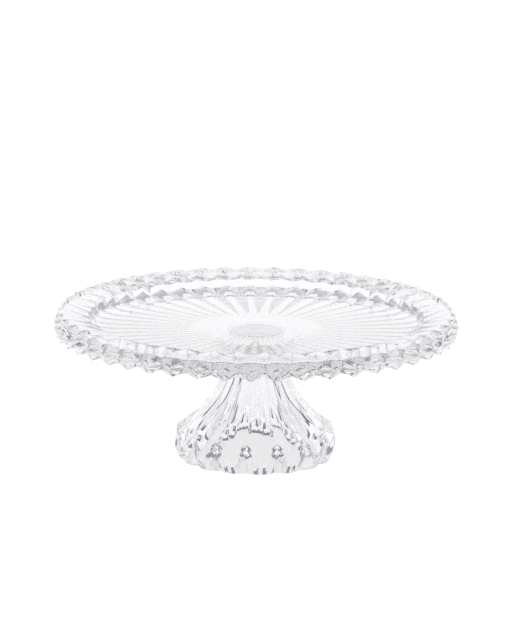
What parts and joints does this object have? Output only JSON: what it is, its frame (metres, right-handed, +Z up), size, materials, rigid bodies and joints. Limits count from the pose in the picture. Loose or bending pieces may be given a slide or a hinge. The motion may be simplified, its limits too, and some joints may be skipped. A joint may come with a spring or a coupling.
{
  "type": "footed glass cake stand",
  "caption": "Round pressed-glass cake stand: a serving plate with a raised, toothed rim and a fluted underside, bonded to a short hollow fluted pedestal.",
  "frame": {"origin": "centre of the foot's flat bottom, on the surface the stand rests on", "axes": "+Z up along the stand's axis, from the foot to the plate; +X and +Y each pass through a tooth of the rim"},
  "size_m": [0.3, 0.3, 0.113],
  "materials": {
    "plate_glass": "clear pressed glass, fire-polished",
    "pedestal_glass": "clear pressed glass, fire-polished",
    "clear_adhesive": "clear cured adhesive"
  },
  "bodies": {
    "root": {"plate": "plate_glass", "pedestal": "pedestal_glass", "bond_film": "clear_adhesive"}
  },
  "joints": []
}
